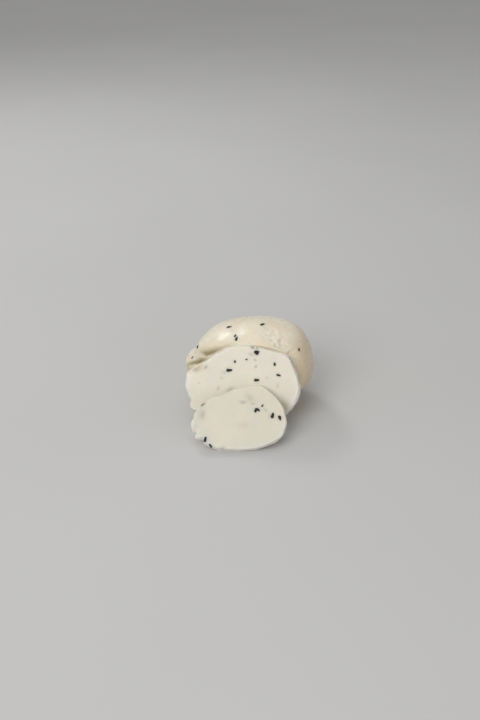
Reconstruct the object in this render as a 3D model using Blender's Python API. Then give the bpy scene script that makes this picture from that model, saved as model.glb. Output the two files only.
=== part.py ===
"""Black seed goat cheese: a hand-pressed ball with its front cut away and two of its slices before it.

Metres, +Z up, Y along the ball from its cut front to its back. The block stands on the flat that its own
weight gave it. The middle slice leans on the cut, and the smaller front slice leans on the middle slice.
Nigella seeds are set in the skin and in the cut faces.
"""

import math
import random

import bmesh
import bpy
from mathutils import Matrix, Vector
from mathutils.bvhtree import BVHTree

MM = 0.001

# The ball before it was cut: an uneven flattened round, widest a little under half its height.
BALL_HALF_WIDTH = 43.2 * MM
BALL_HALF_DEPTH = 38.5 * MM
BALL_RISE = 30.4 * MM  # from the widest level to the top
BALL_DROP = 28.6 * MM  # from the widest level to where a whole round would end
BALL_SAG = 2.0 * MM  # what the flat under it takes away from that
BALL_PLACE = Vector((-0.3 * MM, 17.6 * MM, BALL_DROP - BALL_SAG))
BALL_TURN = math.radians(-5.0)  # about the upright axis

# Swells of an outline: the angle they stand at and how far they spread, in degrees anticlockwise from the
# right, and the share of the radius that they add.
ROUND_SWELLS = [(50, 32, 0.12), (138, 36, -0.07), (222, 36, -0.02), (315, 34, 0.05)]
BLOCK_SWELLS = ROUND_SWELLS + [(128, 16, 0.034), (44, 14, 0.025), (350, 16, 0.012), (323, 13, -0.05)]
# The bulge at the left, where the curd was gathered in, and the hollow above it. They fade toward the back.
GATHERED_SWELLS = [(176, 9, 0.055), (165, 10, -0.05)]
GATHERED_TO = 4.0 * MM  # the place along Y at which they begin to fade
GATHERED_FADE = 11.0 * MM
MIDDLE_SWELLS = ROUND_SWELLS + [
    (166, 5, 0.03),
    (140, 16, -0.075),
    (117, 12, -0.04),
    (66, 11, -0.038),
    (46, 7, 0.042),
    (2, 12, 0.032),
    (346, 10, 0.015),
    (216, 6, 0.083),
    (204, 4, -0.024),
    (194, 7, -0.018),
]
FRONT_SWELLS = ROUND_SWELLS + [
    (109, 13, -0.082),
    (65, 13, 0.105),
    (30, 12, -0.011),
    (5, 10, -0.023),
    (345, 35, 0.072),
    (318, 16, 0.068),
    (290, 16, 0.046),
    (265, 16, 0.012),
    (242, 12, 0.042),
    (228, 7, 0.008),
    (217, 3.5, -0.06),
    (208, 5.5, 0.03),
    (200, 4, -0.063),
    (182, 9, 0.011),
    (169, 3.5, -0.049),
    (142, 9, 0.009),
]

# The knife's cuts.
CUT_PLACE = -22.8 * MM  # the block's cut face, along Y from the ball's middle
SLICE_THICKNESS = 5.6 * MM
RIM_FLARE = 1.6 * MM  # a slice's back is this much larger all round than its front, as the ball was
RIM_FULLNESS = 0.75 * MM  # how far the rim bulges past a straight flare
FOOT_FLARE = 0.3  # a slice's foot has this share of its flare
KNIFE_EDGE = 0.35 * MM  # the softened edge of a cut
FRONT_EDGE = 0.45 * MM  # the same at a slice's front, where the knife didn't drag it rounder
TOUCHING_GAP = 0.3 * MM
FOOT_FLAT = 0.5 * MM  # what a slice's own weight takes off its foot
# The depths behind a slice's front at which its rim has a ring of points.
RIM_DEPTHS = [0.0, 0.2 * MM, 0.8 * MM, 2.0 * MM, 3.6 * MM, SLICE_THICKNESS - KNIFE_EDGE, SLICE_THICKNESS]

# Each slice: the half width, rise and drop of its front face, how far it leans from lying flat, its turns
# about the upright axis and in its own plane, how far aside of the ball it stands, and its outline. The same
# kind of swells say where its rim flares less, and where the knife dragged its front edge rounder. Its seeds
# are those in its front, with their place right of and above the outline's middle, their length in
# millimetres and their turn in degrees, and those in its rim, with their angle on the outline and the share
# of the thickness that they lie behind the front.
MIDDLE_SLICE = {
    "size": (36.7 * MM, 27.6 * MM, 25.5 * MM),
    "lean": math.radians(74.0),
    "turn": math.radians(-5.0),
    "roll": math.radians(-1.5),
    "aside": -6.4 * MM,
    "swells": MIDDLE_SWELLS,
    "flare": [(75, 65, -1.05)],
    "front_edge": [(166, 24, 4.0), (343, 16, 3.4)],
    "face_seeds": [
        (9.5, 25.0, 3.9, 3),
        (8.8, 24.1, 2.5, -50),
        (10.2, 24.1, 2.5, 52),
        (-4.4, 17.7, 2.2, 80),
        (3.1, 19.6, 1.8, 10),
        (-7.8, 11.7, 4.4, 4),
        (21.6, 17.7, 2.7, 95),
        (24.6, 10.5, 3.2, -15),
        (10.5, 6.3, 3.8, 4),
    ],
    "rim_seeds": [(244, 0.5), (301, 0.5)],
}
FRONT_SLICE = {
    "size": (29.3 * MM, 20.8 * MM, 19.6 * MM),
    "lean": math.radians(39.5),
    "turn": math.radians(-1.0),
    "roll": math.radians(4.0),
    "aside": -8.6 * MM,
    "swells": FRONT_SWELLS,
    "flare": [(105, 48, -0.5), (280, 45, -1.3), (330, 30, -0.5)],
    "front_edge": [(200, 40, 1.0)],
    "face_seeds": [
        (12.4, 5.6, 3.3, 80),
        (14.0, 5.8, 3.1, -38),
        (17.0, 8.4, 2.1, 60),
        (23.0, 1.4, 4.3, 77),
        (27.5, -0.6, 3.7, -72),
        (-20.8, -12.1, 4.0, 78),
        (-17.6, -16.3, 3.3, -62),
    ],
    "rim_seeds": [],
}
OUTLINE_STEPS = 104
LEFT_CROWDING = 0.35  # how much closer the outline's points lie at its uneven left
SKIN_SUBDIVISIONS = 5

# Folds where the curd was gathered in at the left, the first of which runs on as the valley behind the cut's
# upper edge, the shoulder that the knife pressed down at its right, and lips of curd that stand out between
# them, with less than no depth. Each has its half width, and the points that its bottom passes: the angle on
# the section, the place along Y and the depth there.
FOLDS = [
    (2.3, [(153, -9.0, 0), (149, -14.5, 1.2), (143, -18.6, 2.4), (132, -20.8, 2.0), (98, -21.6, 0)]),
    (1.8, [(178, -8.0, 0), (171, -12.4, 2.2), (163, -16.0, 2.1), (153, -20.0, 1.4), (145, -23.2, 1.0)]),
    (1.3, [(177, -9.0, 0), (179, -12.5, 0.9), (181, -15.4, 1.1), (185, -18.4, 1.0), (191, -23.0, 0.8)]),
    (4.0, [(66, -23.0, 0), (50, -23.0, 1.2), (34, -23.0, 1.6), (0, -23.0, 1.6)]),
    (1.7, [(155, -11.0, 0), (152, -16.0, -0.7), (148, -21.0, -0.8), (143, -23.5, -0.8)]),
    (1.8, [(183, -11.0, 0), (187, -15.5, -1.0), (193, -20.0, -1.2), (198, -23.0, -1.0)]),
    (3.2, [(142, -12.0, 0), (134, -15.5, -0.5), (120, -16.5, -0.5), (104, -15.0, 0)]),
]
FOLD_STEPS = 5  # between two of those points
# Shallow dents left by the mould and by fingers: angle, place along Y, depth, half width.
DENTS = [
    (70, -17.0, 0.7, 4.0),
    (58, -21.0, 0.6, 3.5),
    (100, -6.0, 0.5, 8.0),
    (35, 4.0, 0.7, 9.0),
    (150, 12.0, 0.8, 8.0),
    (112, 28.0, 0.6, 8.0),
    (5, 18.0, 0.7, 8.0),
]

# Nigella seeds: sharp-ended, slim, and two to four millimetres long.
SEED_LENGTH = 2.9 * MM
SEED_WIDTH = 1.6 * MM
SEED_HEIGHT = 1.5 * MM
SEED_VARIETY = 0.2  # the share by which a strewn seed may be longer or shorter
SEED_SIDES = 5
SEED_RINGS = 4
SEED_TAPER = 0.6
SEED_SHOWN = 0.4  # the share of a seed's height that stands out
SEED_CLEARANCE = 6.5 * MM
# Seeds that stand out of the skin: angle on the section, place along Y, length, and turn in degrees.
SKIN_SEEDS = [
    (109.0, -2.6, 4.0, 0),
    (102.5, -14.0, 3.0, 60),
    (101.3, -16.8, 4.2, 80),
    (78.7, -3.4, 4.1, 35),
    (151.6, -5.3, 3.4, 60),
    (39.6, -16.2, 2.8, 80),
    (166.8, -7.9, 2.6, 40),
]
# The rest are strewn by a seeded draw, at least the clearance apart, and on the skin only outside the patch
# over its top and front that has the seeds above.
PATCH_ANGLES = (-30.0, 178.0)
PATCH_END = 23.0 * MM
STREWN_ANGLES = (-38.0, 218.0)  # the rest of the round is the underside
STREWN_FROM_CUT = 3.0 * MM
SKIN_SEED_COUNT = 34
CUT_SEED_COUNT = 9
BACK_SEED_COUNT = 6
STREWN_FROM_EDGE = 0.72  # strewn seeds keep within this share of a cut face's outline
CONTACT_HEIGHT = 38.0 * MM  # the block's cut face has no seed above this, where the middle slice touches
DRAW = 7

CREAM_SKIN = (0.74, 0.66, 0.48)
CREAM_CURD = (0.78, 0.74, 0.60)
SEED_BLACK = (0.012, 0.011, 0.010)
SHARP_FROM = math.radians(38.0)


def swelling(angle, swells):
    """An outline's radius at an angle, as a share of its plain radius."""
    share = 1.0
    for centre, spread, amount in swells:
        off = (math.degrees(angle) - centre + 180.0) % 360.0 - 180.0
        share += amount * math.exp(-((off / spread) ** 2))
    return share


def outline(angle, half_width, rise, drop, swells):
    """A point of a section's edge, right of and above the middle of its widest level."""
    height = rise if math.sin(angle) > 0.0 else drop
    share = swelling(angle, swells)
    return half_width * math.cos(angle) * share, height * math.sin(angle) * share


def skin(angle, along):
    """A point of the ball's plain skin, from the ball's middle."""
    scale = math.sqrt(1.0 - min(abs(along) / BALL_HALF_DEPTH, 1.0) ** 2)
    gathered = math.exp(-((max(along - GATHERED_TO, 0.0) / GATHERED_FADE) ** 2))
    bulge = [(centre, spread, amount * gathered) for centre, spread, amount in GATHERED_SWELLS]
    swells = BLOCK_SWELLS + bulge
    right, up = outline(angle, BALL_HALF_WIDTH * scale, BALL_RISE * scale, BALL_DROP * scale, swells)
    return Vector((right, along, up))


def fold_points(fold):
    """Points along a fold's bottom, each with its depth and half width."""
    half_width, passed = fold
    points = []
    for (angle, along, depth), (next_angle, next_along, next_depth) in zip(passed, passed[1:]):
        for step in range(FOLD_STEPS + 1):
            share = step / FOLD_STEPS
            here = math.radians(angle + (next_angle - angle) * share)
            place = skin(here, (along + (next_along - along) * share) * MM)
            points.append((place, (depth + (next_depth - depth) * share) * MM, half_width * MM))
    return points


def hollow_depth(point, hollows):
    """How far the skin at a point is pressed in by folds and dents, each a list of points with depths."""
    total = 0.0
    for hollow in hollows:
        depths = (
            depth * math.exp(-(((point - centre).length / half_width) ** 2))
            for centre, depth, half_width in hollow
        )
        total += max(depths, key=abs)
    return total


def clear_scene():
    for thing in list(bpy.data.objects):
        bpy.data.objects.remove(thing, do_unlink=True)


def new_collection(name):
    made = bpy.data.collections.new(name)
    bpy.context.scene.collection.children.link(made)
    return made


def new_material(name, colour, roughness):
    made = bpy.data.materials.new(name)
    made.use_nodes = True
    shader = made.node_tree.nodes["Principled BSDF"]
    shader.inputs["Base Color"].default_value = (*colour, 1.0)
    shader.inputs["Roughness"].default_value = roughness
    shader.inputs["Metallic"].default_value = 0.0
    made.diffuse_color = (*colour, 1.0)
    return made


def new_object(name, bm, surface, collection):
    bmesh.ops.recalc_face_normals(bm, faces=bm.faces[:])
    mesh = bpy.data.meshes.new(name)
    bm.to_mesh(mesh)
    made = bpy.data.objects.new(name, mesh)
    mesh.materials.append(surface)
    collection.objects.link(made)
    return made


def slice_off(bm, point, outward):
    """Cuts away what lies past a plane and closes the cut with one flat face."""
    everything = bm.verts[:] + bm.edges[:] + bm.faces[:]
    cut = bmesh.ops.bisect_plane(
        bm, geom=everything, dist=1e-7, plane_co=point, plane_no=outward, clear_outer=True
    )
    rim = [piece for piece in cut["geom_cut"] if isinstance(piece, bmesh.types.BMEdge)]
    bmesh.ops.contextual_create(bm, geom=rim)


def new_seed_mesh():
    """One seed of unit length along X, blunt at one end and drawn to a point at the other."""
    bm = bmesh.new()
    bmesh.ops.create_uvsphere(bm, u_segments=SEED_SIDES, v_segments=SEED_RINGS, radius=0.5)
    bmesh.ops.rotate(bm, verts=bm.verts[:], matrix=Matrix.Rotation(math.pi / 2.0, 3, "Y"))
    for vert in bm.verts:
        slim = 1.0 - SEED_TAPER * vert.co.x
        vert.co.y *= slim
        vert.co.z *= slim
    mesh = bpy.data.meshes.new("nigella_seed")
    bm.to_mesh(mesh)
    bm.free()
    mesh.materials.append(new_material("nigella_seed", SEED_BLACK, 0.45))
    return mesh


def set_seed(seeds, mesh, place, outward, length, turn):
    """Sets one seed in a surface, its length along the surface and turned about the outward direction."""
    level = Vector((1.0, 0.0, 0.0)) if abs(outward.x) < 0.9 else Vector((0.0, 1.0, 0.0))
    across = outward.cross(level).normalized()
    frame = Matrix((across.cross(outward), across, outward)).transposed().to_4x4()
    size = length / SEED_LENGTH
    sunk = place + outward * SEED_HEIGHT * size * (SEED_SHOWN - 0.5)
    shape = Matrix.Diagonal((length, SEED_WIDTH * size, SEED_HEIGHT * size, 1.0))
    seed = bpy.data.objects.new("seed", mesh)
    seed.matrix_world = (
        Matrix.Translation(sunk) @ frame @ Matrix.Rotation(math.radians(turn), 4, "Z") @ shape
    )
    seeds.objects.link(seed)


def fuse_seeds(body, seeds):
    """Joins a collection's seeds to their body for good, each keeping its colour."""
    union = body.modifiers.new("seeds", "BOOLEAN")
    union.operation = "UNION"
    union.operand_type = "COLLECTION"
    union.collection = seeds
    union.material_mode = "TRANSFER"
    depsgraph = bpy.context.evaluated_depsgraph_get()
    joined = bpy.data.meshes.new_from_object(body.evaluated_get(depsgraph))
    body.modifiers.remove(union)
    joined.shade_smooth()
    joined.set_sharp_from_angle(angle=SHARP_FROM)
    body.data = joined
    for seed in list(seeds.objects):
        bpy.data.objects.remove(seed, do_unlink=True)
    bpy.data.collections.remove(seeds)


def far_from(place, others):
    return all((place - other).length > SEED_CLEARANCE for other in others)


def drawn_seed(draw):
    """The length and turn of a strewn seed."""
    return SEED_LENGTH * draw.uniform(1.0 - SEED_VARIETY, 1.0 + SEED_VARIETY), draw.uniform(0.0, 180.0)


def make_block(parts, surface, seed_mesh):
    """The ball without its front: skin with folds and dents, the cut face, and the flat underneath."""
    hollows = [fold_points(fold) for fold in FOLDS]
    for angle, along, depth, half_width in DENTS:
        hollows.append([(skin(math.radians(angle), along * MM), depth * MM, half_width * MM)])
    bm = bmesh.new()
    bmesh.ops.create_icosphere(bm, subdivisions=SKIN_SUBDIVISIONS, radius=1.0)
    for vert in bm.verts:
        point = skin(math.atan2(vert.co.z, vert.co.x), vert.co.y * BALL_HALF_DEPTH)
        vert.co = point - point.normalized() * hollow_depth(point, hollows)
    slice_off(bm, Vector((0.0, CUT_PLACE, 0.0)), Vector((0.0, -1.0, 0.0)))
    slice_off(bm, Vector((0.0, 0.0, -BALL_PLACE.z)), Vector((0.0, 0.0, -1.0)))
    world = Matrix.Translation(BALL_PLACE) @ Matrix.Rotation(BALL_TURN, 4, "Z")
    bm.transform(world)
    block = new_object("block", bm, surface, parts)
    tree = BVHTree.FromBMesh(bm)
    bm.free()

    seeds = new_collection("block_seeds")
    draw = random.Random(DRAW)
    placed = []

    def set_in_skin(angle, along, length, turn):
        plain_place = world @ skin(angle, along)
        place, outward, _, _ = tree.find_nearest(plain_place)
        placed.append(plain_place)
        set_seed(seeds, seed_mesh, place, outward, length, turn)

    for angle, along, length, turn in SKIN_SEEDS:
        set_in_skin(math.radians(angle), along * MM, length * MM, turn)
    while len(placed) < SKIN_SEED_COUNT:
        along = draw.uniform(CUT_PLACE + STREWN_FROM_CUT, BALL_HALF_DEPTH)
        degrees = draw.uniform(*STREWN_ANGLES)
        angle = math.radians(degrees)
        in_patch = PATCH_ANGLES[0] < degrees < PATCH_ANGLES[1] and along < PATCH_END
        if not in_patch and far_from(world @ skin(angle, along), placed):
            set_in_skin(angle, along, *drawn_seed(draw))

    facing = (world.to_3x3() @ Vector((0.0, -1.0, 0.0))).normalized()
    in_cut = []
    while len(in_cut) < CUT_SEED_COUNT:
        edge = skin(math.radians(draw.uniform(0.0, 360.0)), CUT_PLACE)
        share = STREWN_FROM_EDGE * math.sqrt(draw.random())
        place = world @ Vector((edge.x * share, CUT_PLACE, edge.z * share))
        if far_from(place, in_cut) and SEED_LENGTH < place.z < CONTACT_HEIGHT:
            in_cut.append(place)
            set_seed(seeds, seed_mesh, place, facing, *drawn_seed(draw))
    fuse_seeds(block, seeds)
    return Vector(world @ Vector((0.0, CUT_PLACE, 0.0))), facing


def softened(distance, edge):
    """How much a round edge takes off a side at a distance from the face that it meets."""
    near = max(1.0 - distance / edge, 0.0)
    return edge * (1.0 - math.sqrt(1.0 - near**2))


def rim_point(form, angle, depth):
    """A point of a slice's rim at a depth behind its front."""
    half_width, rise, drop = form["size"]
    share = min(depth / (SLICE_THICKNESS - KNIFE_EDGE), 1.0)
    flare = (RIM_FLARE * share + RIM_FULLNESS * share * (1.0 - share)) * swelling(angle, form["flare"])
    lost = softened(depth, FRONT_EDGE * swelling(angle, form["front_edge"]))
    lost += softened(SLICE_THICKNESS - depth, KNIFE_EDGE)
    growth = flare - lost
    foot_growth = FOOT_FLARE * flare - lost
    return outline(angle, half_width + growth, rise + growth, drop + foot_growth, form["swells"])


def slice_ring(bm, form, depth):
    """One closed ring of a slice's rim at a depth behind its front."""
    verts = []
    for step in range(OUTLINE_STEPS):
        even = 2.0 * math.pi * step / OUTLINE_STEPS
        right, up = rim_point(form, even + LEFT_CROWDING * math.sin(even), depth)
        verts.append(bm.verts.new((right, up, -depth)))
    return [bm.edges.new((verts[i - 1], verts[i])) for i in range(OUTLINE_STEPS)]


def stand_slice(bm, form, touched):
    """Turns a slice to its lean, stands it on its foot and slides it back until it touches what it leans on.

    touched is the plane that it leans on, as a point and the outward direction. Returns the slice's place.
    """
    turned = (
        Matrix.Rotation(form["turn"], 4, "Z")
        @ Matrix.Rotation(form["lean"], 4, "X")
        @ Matrix.Rotation(form["roll"], 4, "Z")
    )
    lowest = min((turned @ vert.co).z for vert in bm.verts)
    world = Matrix.Translation((BALL_PLACE.x + form["aside"], 0.0, -FOOT_FLAT - lowest)) @ turned
    point, outward = touched
    nearest = min((world @ vert.co - point).dot(outward) for vert in bm.verts)
    world = Matrix.Translation((0.0, (TOUCHING_GAP - nearest) / outward.y, 0.0)) @ world
    bm.transform(world)
    slice_off(bm, Vector((0.0, 0.0, 0.0)), Vector((0.0, 0.0, -1.0)))
    return world


def seed_slice(made, form, world, seed_mesh):
    """Sets a slice's seeds in its front and rim where they are listed, and strews some over its back."""
    seeds = new_collection(made.name + "_seeds")
    draw = random.Random(DRAW + len(made.name))
    forward = world.to_3x3() @ Vector((0.0, 0.0, 1.0))
    for right, up, length, turn in form["face_seeds"]:
        place = world @ Vector((right * MM, up * MM, 0.0))
        set_seed(seeds, seed_mesh, place, forward, length * MM, turn)
    for degrees, share in form["rim_seeds"]:
        angle = math.radians(degrees)
        depth = share * SLICE_THICKNESS
        right, up = rim_point(form, angle, depth)
        place = world @ Vector((right, up, -depth))
        outward = world.to_3x3() @ Vector((math.cos(angle), math.sin(angle), 0.0))
        set_seed(seeds, seed_mesh, place, outward, *drawn_seed(draw))
    in_back = []
    while len(in_back) < BACK_SEED_COUNT:
        right, up = outline(draw.uniform(0.0, 2.0 * math.pi), *form["size"], form["swells"])
        share = STREWN_FROM_EDGE * math.sqrt(draw.random())
        place = world @ Vector((right * share, up * share, -SLICE_THICKNESS))
        if far_from(place, in_back) and place.z > SEED_LENGTH:
            in_back.append(place)
            set_seed(seeds, seed_mesh, place, -forward, *drawn_seed(draw))
    fuse_seeds(made, seeds)


def make_slice(name, form, touched, parts, surface, seed_mesh):
    """A slice lofted from its front, at Z = 0 with the way up the slope along Y, to its larger back."""
    bm = bmesh.new()
    rings = [slice_ring(bm, form, depth) for depth in RIM_DEPTHS]
    for front, back in zip(rings, rings[1:]):
        bmesh.ops.bridge_loops(bm, edges=front + back)
    bmesh.ops.contextual_create(bm, geom=rings[0])
    bmesh.ops.contextual_create(bm, geom=rings[-1])
    world = stand_slice(bm, form, touched)
    made = new_object(name, bm, surface, parts)
    bm.free()
    seed_slice(made, form, world, seed_mesh)
    return world.translation.copy(), world.to_3x3() @ Vector((0.0, 0.0, 1.0))


def make_cheese():
    clear_scene()
    parts = new_collection("black_seed_goat_cheese")
    skin_surface = new_material("cheese_skin", CREAM_SKIN, 0.35)
    cut_surface = new_material("cheese_cut", CREAM_CURD, 0.5)
    seed_mesh = new_seed_mesh()
    cut = make_block(parts, skin_surface, seed_mesh)
    front = make_slice("middle_slice", MIDDLE_SLICE, cut, parts, cut_surface, seed_mesh)
    make_slice("front_slice", FRONT_SLICE, front, parts, cut_surface, seed_mesh)
    bpy.data.meshes.remove(seed_mesh)


make_cheese()
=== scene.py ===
"""Looks of the black seed goat cheese: a cut ball of white fresh cheese and two slices that lean on it."""

import math
import random

import bpy
import numpy as np
from mathutils import Matrix, Vector, noise
from mathutils.bvhtree import BVHTree


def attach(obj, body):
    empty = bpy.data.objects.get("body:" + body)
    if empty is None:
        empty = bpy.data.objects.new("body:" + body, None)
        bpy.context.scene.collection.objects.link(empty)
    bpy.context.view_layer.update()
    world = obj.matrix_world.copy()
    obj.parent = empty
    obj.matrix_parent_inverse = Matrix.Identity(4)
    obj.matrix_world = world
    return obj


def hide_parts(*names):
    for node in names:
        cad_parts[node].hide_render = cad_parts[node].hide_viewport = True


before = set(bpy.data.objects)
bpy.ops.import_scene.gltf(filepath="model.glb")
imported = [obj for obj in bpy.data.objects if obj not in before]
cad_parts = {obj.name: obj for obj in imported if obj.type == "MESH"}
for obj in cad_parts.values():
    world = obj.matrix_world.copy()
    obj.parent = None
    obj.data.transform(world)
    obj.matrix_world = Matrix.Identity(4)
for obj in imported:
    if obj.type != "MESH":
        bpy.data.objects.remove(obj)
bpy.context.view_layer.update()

# ---------------------------------------------------------------------------------------------------------
# The block. It is what is left of a ball of fresh goat cheese: warm curd pressed together by hand, so its
# skin is smooth and moist, with folds at the left where the curd was drawn together. It stands on the flat
# that its own weight gave it, and a knife took its front away.
MM = 0.001
BALL_HALF_WIDTH = 43.2 * MM
BALL_HALF_DEPTH = 38.5 * MM
BALL_RISE = 30.4 * MM  # from the widest level to the top
BALL_DROP = 28.6 * MM  # from the widest level to where a whole round would end
BALL_SAG = 2.0 * MM  # what the flat under it takes away from that
BALL_PLACE = Vector((-0.3 * MM, 17.6 * MM, BALL_DROP - BALL_SAG))
BALL_TURN = math.radians(-5.0)
CUT_PLACE = -22.8 * MM
KNIFE_EDGE = 0.35 * MM

BALL_SEGMENTS = 448
BALL_RINGS = 224
LEFT_CROWDING = 0.35  # how much closer the mesh's points lie at the uneven left
FRONT_CROWDING = 0.3  # and toward the cut

# Swells of an outline: the angle they stand at and how far they spread, in degrees anticlockwise from the
# right, and the share of the radius that they add.
ROUND_SWELLS = [(50, 32, 0.12), (138, 36, -0.07), (222, 36, -0.02), (315, 34, 0.05)]
BLOCK_SWELLS = ROUND_SWELLS + [(128, 16, 0.034), (44, 14, 0.025), (350, 16, 0.012), (323, 13, -0.05)]
# The bulge at the left, where the curd was gathered in, and the hollow above it. They fade toward the back.
GATHERED_SWELLS = [(176, 9, 0.055), (165, 10, -0.05)]
GATHERED_TO = 4.0 * MM  # the place along Y at which they begin to fade
GATHERED_FADE = 11.0 * MM
# Folds where the curd was gathered in at the left, the first of which runs on as the valley behind the cut's
# upper edge, the shoulder that the knife pressed down at its right, and lips of curd that stand out between
# them, with less than no depth. Each has its half width, and the points that its bottom passes: the angle on
# the section, the place along Y and the depth there.
FOLDS = [
    (2.3, [(153, -9.0, 0), (149, -14.5, 1.2), (143, -18.6, 2.4), (132, -20.8, 2.0), (98, -21.6, 0)]),
    (1.8, [(178, -8.0, 0), (171, -12.4, 2.2), (163, -16.0, 2.1), (153, -20.0, 1.4), (145, -23.2, 1.0)]),
    (1.3, [(177, -9.0, 0), (179, -12.5, 0.9), (181, -15.4, 1.1), (185, -18.4, 1.0), (191, -23.0, 0.8)]),
    (4.0, [(66, -23.0, 0), (50, -23.0, 1.2), (34, -23.0, 1.6), (0, -23.0, 1.6)]),
]
LIPS = [
    (1.7, [(155, -11.0, 0), (152, -16.0, -0.7), (148, -21.0, -0.8), (143, -23.5, -0.8)]),
    (1.8, [(183, -11.0, 0), (187, -15.5, -1.0), (193, -20.0, -1.2), (198, -23.0, -1.0)]),
    (3.2, [(142, -12.0, 0), (134, -15.5, -0.5), (120, -16.5, -0.5), (104, -15.0, 0)]),
]
# The same folds' sharp bottoms, where two lips of curd meet.
CREASES = [
    (0.8, [(154, -8.5, 0), (149, -14.5, 0.5), (143, -18.6, 0.8), (134, -20.5, 0.6), (118, -21.6, 0)]),
    (0.8, [(178, -9.0, 0), (171, -12.4, 0.8), (163, -16.0, 0.8), (153, -20.0, 0.5), (145, -23.2, 0.4)]),
    (0.6, [(177, -9.0, 0), (179, -12.5, 0.5), (181, -15.4, 0.5), (185, -18.4, 0.4), (191, -23.0, 0.3)]),
    (0.8, [(45, -23.0, 0.6), (44.7, -20.3, 0.5), (43, -18.0, 0.3), (43, -14.0, 0)]),
]
FOLD_STEPS = 24  # between two of those points
FOLD_SHADE = 2.4 * MM  # the depth at which a fold has its full painted shade
# Painted shade that follows such lines too, with a share in place of the depth: the shaded skin under the
# gathered bulge, and the golden-brown shade of the valley above the middle slice.
GATHERED_SHADE = (2.6, [(182, -8.0, 0.3), (178, -13.0, 0.55), (174, -17.5, 0.55), (170, -22.0, 0.4)])
VALLEY_SHADE_LINE = (9.0, [(150, -16.0, 0.7), (138, -18.0, 1), (120, -19.5, 1), (100, -19.5, 0.6), (84, -21.0, 0)])
# The small lumps at the right of the cut's edge, where the warm curd was kneaded and never closed.
KNEADED = (6.2, [(70, -12.5, 0.8), (64, -15.8, 1), (59, -18.8, 1), (53, -21.8, 0.9)])
LUMP_SIZE = 2.3 * MM
LUMP_DEPTH = 1.1 * MM
LUMP_FADE = 1.5 * MM  # over how much skin they fade toward the cut
GAP_SHADE = 0.35  # how much of the folds' painted shade the gaps between them have
# Shallow dents left by the mould and by fingers, and one low swelling between them, with less than no
# depth: angle, place along Y, depth, half width.
DENTS = [
    (109.5, -10.8, -0.35, 4.6),
    (70, -17.0, 0.7, 4.0),
    (58, -21.0, 0.6, 3.5),
    (100, -6.0, 0.5, 8.0),
    (35, 4.0, 0.7, 9.0),
    (150, 12.0, 0.8, 8.0),
    (112, 28.0, 0.6, 8.0),
    (5, 18.0, 0.7, 8.0),
]


def swelling(angle, swells):
    """An outline's radius at an angle, as a share of its plain radius."""
    share = 1.0
    for centre, spread, amount in swells:
        off = (np.degrees(angle) - centre + 180.0) % 360.0 - 180.0
        share = share + amount * np.exp(-((off / spread) ** 2))
    return share


def outline(angle, half_width, rise, drop, swells):
    """Points of a section's edge, right of and above the middle of its widest level."""
    share = swelling(angle, swells)
    height = np.where(np.sin(angle) > 0.0, rise, drop)
    return half_width * np.cos(angle) * share, height * np.sin(angle) * share


def skin(angle, along):
    """Points of the ball's plain skin, from the ball's middle."""
    scale = np.sqrt(1.0 - np.minimum(np.abs(along) / BALL_HALF_DEPTH, 1.0) ** 2)
    gathered = np.exp(-((np.maximum(along - GATHERED_TO, 0.0) / GATHERED_FADE) ** 2))
    bulge = [(centre, spread, amount * gathered) for centre, spread, amount in GATHERED_SWELLS]
    swells = BLOCK_SWELLS + bulge
    right, up = outline(angle, BALL_HALF_WIDTH * scale, BALL_RISE * scale, BALL_DROP * scale, swells)
    return np.stack([right, along + np.zeros_like(right), up], axis=-1)


def fold_points(fold):
    """Points along a fold's bottom, each with its depth and half width."""
    half_width, passed = fold
    points = []
    for (angle, along, depth), (next_angle, next_along, next_depth) in zip(passed, passed[1:]):
        for step in range(FOLD_STEPS + 1):
            share = step / FOLD_STEPS
            here = math.radians(angle + (next_angle - angle) * share)
            place = skin(here, (along + (next_along - along) * share) * MM)
            points.append((place, (depth + (next_depth - depth) * share) * MM, half_width * MM))
    return points


def pressed(points, hollow):
    """How far each point is pressed in by one fold or dent."""
    deepest = np.zeros(len(points))
    for centre, depth, half_width in hollow:
        away = np.linalg.norm(points - centre, axis=1)
        here = depth * np.exp(-((away / half_width) ** 2))
        deepest = np.where(np.abs(here) > np.abs(deepest), here, deepest)
    return deepest


def get_points(piece):
    """The places of all of a mesh's points, one a row."""
    points = np.empty(len(piece.data.vertices) * 3)
    piece.data.vertices.foreach_get("co", points)
    return points.reshape(-1, 3)


def set_points(piece, points):
    piece.data.vertices.foreach_set("co", points.ravel())
    piece.data.update()


def set_shade(piece, name, values):
    """A number for every point, which a material reads."""
    layer = piece.data.attributes.get(name) or piece.data.attributes.new(name, "FLOAT", "POINT")
    layer.data.foreach_set("value", np.asarray(values, np.float32))


def get_shade(piece, name):
    """What set_shade wrote, or zeros."""
    values = np.zeros(len(piece.data.vertices), np.float32)
    layer = piece.data.attributes.get(name)
    if layer:
        layer.data.foreach_get("value", values)
    return values


def start_edit(piece):
    """Opens a piece for modelling, with all of it selected."""
    bpy.ops.object.select_all(action="DESELECT")
    piece.select_set(True)
    bpy.context.view_layer.objects.active = piece
    bpy.ops.object.mode_set(mode="EDIT")
    bpy.ops.mesh.select_all(action="SELECT")


def end_edit():
    bpy.ops.object.mode_set(mode="OBJECT")


def press_in(piece, kind, size, depth):
    """Gives a piece low relief of one size, which only ever presses inward, and applies it."""
    relief = bpy.data.textures.new(piece.name + "_relief", kind)
    relief.noise_scale = size
    press = piece.modifiers.new("relief", "DISPLACE")
    press.texture = relief
    press.texture_coords = "LOCAL"
    press.mid_level = 1.0
    press.strength = depth
    bpy.ops.object.select_all(action="DESELECT")
    piece.select_set(True)
    bpy.context.view_layer.objects.active = piece
    bpy.ops.object.modifier_apply(modifier=press.name)


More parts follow.
